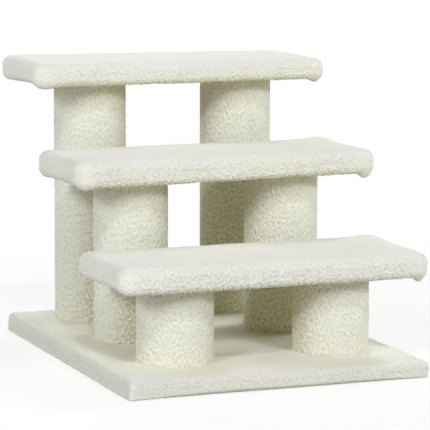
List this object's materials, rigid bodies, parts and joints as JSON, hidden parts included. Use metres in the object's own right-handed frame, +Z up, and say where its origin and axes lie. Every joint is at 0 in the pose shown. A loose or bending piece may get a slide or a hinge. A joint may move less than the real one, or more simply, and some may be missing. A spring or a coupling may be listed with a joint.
{
  "type": "pet stairs",
  "caption": "Low stairs for a small pet: plush-covered boards in a flight on round plush-covered posts over a flat plush-covered base.",
  "frame": {"origin": "centre of the footprint's box, on the floor", "axes": "+Z up, +Y from the front edge towards the tall end, +X to the right as seen from the front"},
  "size_m": [0.36, 0.4474, 0.33],
  "materials": {
    "plush": "curly sherpa pile, matt",
    "particle_board": "raw particle board",
    "cardboard": "spiral-wound kraft board",
    "fibreboard": "raw fibreboard",
    "zinc_steel": "bright zinc plate",
    "staple_wire": "galvanised wire"
  },
  "bodies": {
    "root": {"base_board": "particle_board", "base_cover": "plush", "lower_step_board": "particle_board", "lower_step_cover": "plush", "middle_step_board": "particle_board", "middle_step_cover": "plush", "upper_step_board": "particle_board", "upper_step_cover": "plush", "lower_left_post_tube": "cardboard", "lower_left_post_sleeve": "plush", "lower_left_post_bottom_plug": "fibreboard", "lower_left_post_top_plug": "fibreboard", "lower_right_post_tube": "cardboard", "lower_right_post_sleeve": "plush", "lower_right_post_bottom_plug": "fibreboard", "lower_right_post_top_plug": "fibreboard", "middle_left_post_tube": "cardboard", "middle_left_post_sleeve": "plush", "middle_left_post_bottom_plug": "fibreboard", "middle_left_post_top_plug": "fibreboard", "middle_right_post_tube": "cardboard", "middle_right_post_sleeve": "plush", "middle_right_post_bottom_plug": "fibreboard", "middle_right_post_top_plug": "fibreboard", "upper_left_post_tube": "cardboard", "upper_left_post_sleeve": "plush", "upper_left_post_bottom_plug": "fibreboard", "upper_left_post_top_plug": "fibreboard", "upper_right_post_tube": "cardboard", "upper_right_post_sleeve": "plush", "upper_right_post_bottom_plug": "fibreboard", "upper_right_post_top_plug": "fibreboard", "base_bolts": "zinc_steel", "base_washers": "zinc_steel", "bottom_plug_tee_nuts": "zinc_steel", "top_plug_tee_nuts": "zinc_steel", "step_studs": "zinc_steel", "step_tee_nuts": "zinc_steel", "base_staples": "staple_wire", "lower_step_staples": "staple_wire", "middle_step_staples": "staple_wire", "upper_step_staples": "staple_wire"}
  },
  "joints": []
}
